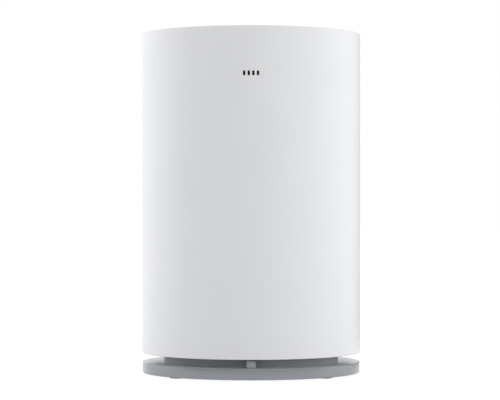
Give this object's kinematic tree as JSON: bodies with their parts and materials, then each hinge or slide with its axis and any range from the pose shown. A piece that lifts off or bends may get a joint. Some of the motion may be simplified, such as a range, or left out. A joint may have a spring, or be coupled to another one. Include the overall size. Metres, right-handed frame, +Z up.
{
  "type": "air purifier",
  "caption": "Oval floor-standing air purifier: a white lift-off cover over a dark neck and a brushed base, with a pleated filter, a centrifugal fan and a top grille inside.",
  "frame": {"origin": "on the floor, under the middle of the oval", "axes": "+Z up, +X along the oval's long axis to the viewer's right, front towards -Y"},
  "size_m": [0.322, 0.216, 0.5],
  "materials": {
    "cover_white": "satin white",
    "base_metal": "brushed",
    "neck_grey": "matte dark grey",
    "tab_grey": "matte mid grey",
    "frame_grey": "matte light grey",
    "deck_white": "satin white",
    "screen_grey": "matte dark grey",
    "lens_smoked": "smoked gloss",
    "panel_dark": "dark gloss",
    "key_grey": "satin light grey",
    "impeller_grey": "matte grey",
    "steel": "plain",
    "post_metal": "satin",
    "rubber": "matte black",
    "foam": "foam, dark grey",
    "filter_paper": "pleated white paper",
    "carbon": "carbon cloth",
    "board_green": "solder mask green",
    "component_black": "moulded black",
    "copper": "enamelled wire",
    "magnet": "sintered grey",
    "lamp_white": "moulded white"
  },
  "bodies": {
    "stand": {"base_shell": "base_metal", "bottom_plate": "steel", "base_screws": "steel", "foot_1": "rubber", "foot_2": "rubber", "foot_3": "rubber", "foot_4": "rubber", "neck_housing": "neck_grey", "power_inlet": "component_black", "inlet_pins": "copper", "power_board": "board_green", "power_board_parts": "component_black", "intake_screen": "screen_grey", "tab_spring": "steel", "lower_deck": "frame_grey", "frame_screws": "steel", "fan_deck": "frame_grey", "post_1": "post_metal", "post_2": "post_metal", "post_3": "post_metal", "post_4": "post_metal", "filter_bottom_gasket": "foam", "filter_bottom_cap": "frame_grey", "filter_media": "filter_paper", "carbon_sleeve": "carbon", "filter_top_cap": "frame_grey", "filter_top_gasket": "foam", "inlet_ring": "frame_grey", "fan_duct": "frame_grey", "motor_stator": "steel", "stator_windings": "copper", "motor_bearings": "steel", "motor_board": "board_green", "diffuser": "frame_grey", "top_deck": "deck_white", "top_seal": "foam", "outlet_grille": "deck_white", "pod_housing": "frame_grey", "control_panel": "panel_dark", "control_board": "board_green", "key_switches": "component_black", "indicator_board": "board_green", "indicator_leds": "lamp_white", "indicator_bracket": "frame_grey", "wiring_harness": "rubber", "fan_connector": "component_black", "cable_grommets": "rubber", "cable_clips": "component_black"},
    "cover": {"cover_shell": "cover_white", "indicator_lens": "lens_smoked", "catch_keeper": "neck_grey"},
    "fan": {"impeller": "impeller_grey", "rotor_cup": "steel", "rotor_magnet": "magnet", "motor_shaft": "steel", "impeller_nut": "steel"},
    "release": {"release_tab": "tab_grey", "tab_stop_ring": "steel"},
    "power_key": {"power_button": "key_grey"},
    "speed_key": {"speed_button": "key_grey"}
  },
  "joints": [
    {"name": "cover_lift", "type": "slide", "parent": "stand", "child": "cover", "axis": [0, 0, 1], "range_m": [0, 0.47]},
    {"name": "fan_spin", "type": "hinge", "parent": "stand", "child": "fan", "pos_m": [0, 0, 0.42], "axis": [0, 0, 1], "continuous": true},
    {"name": "release_press", "type": "slide", "parent": "stand", "child": "release", "axis": [0, 1, 0], "range_m": [0, 0.004], "stiffness_N_per_m": 400, "springref_m": -0.002, "deforming": ["tab_spring"]},
    {"name": "power_press", "type": "slide", "parent": "stand", "child": "power_key", "axis": [0, 0, -1], "range_m": [0, 0.0012], "stiffness_N_per_m": 800, "springref_m": -0.0005},
    {"name": "speed_press", "type": "slide", "parent": "stand", "child": "speed_key", "axis": [0, 0, -1], "range_m": [0, 0.0012], "stiffness_N_per_m": 800, "springref_m": -0.0005}
  ]
}
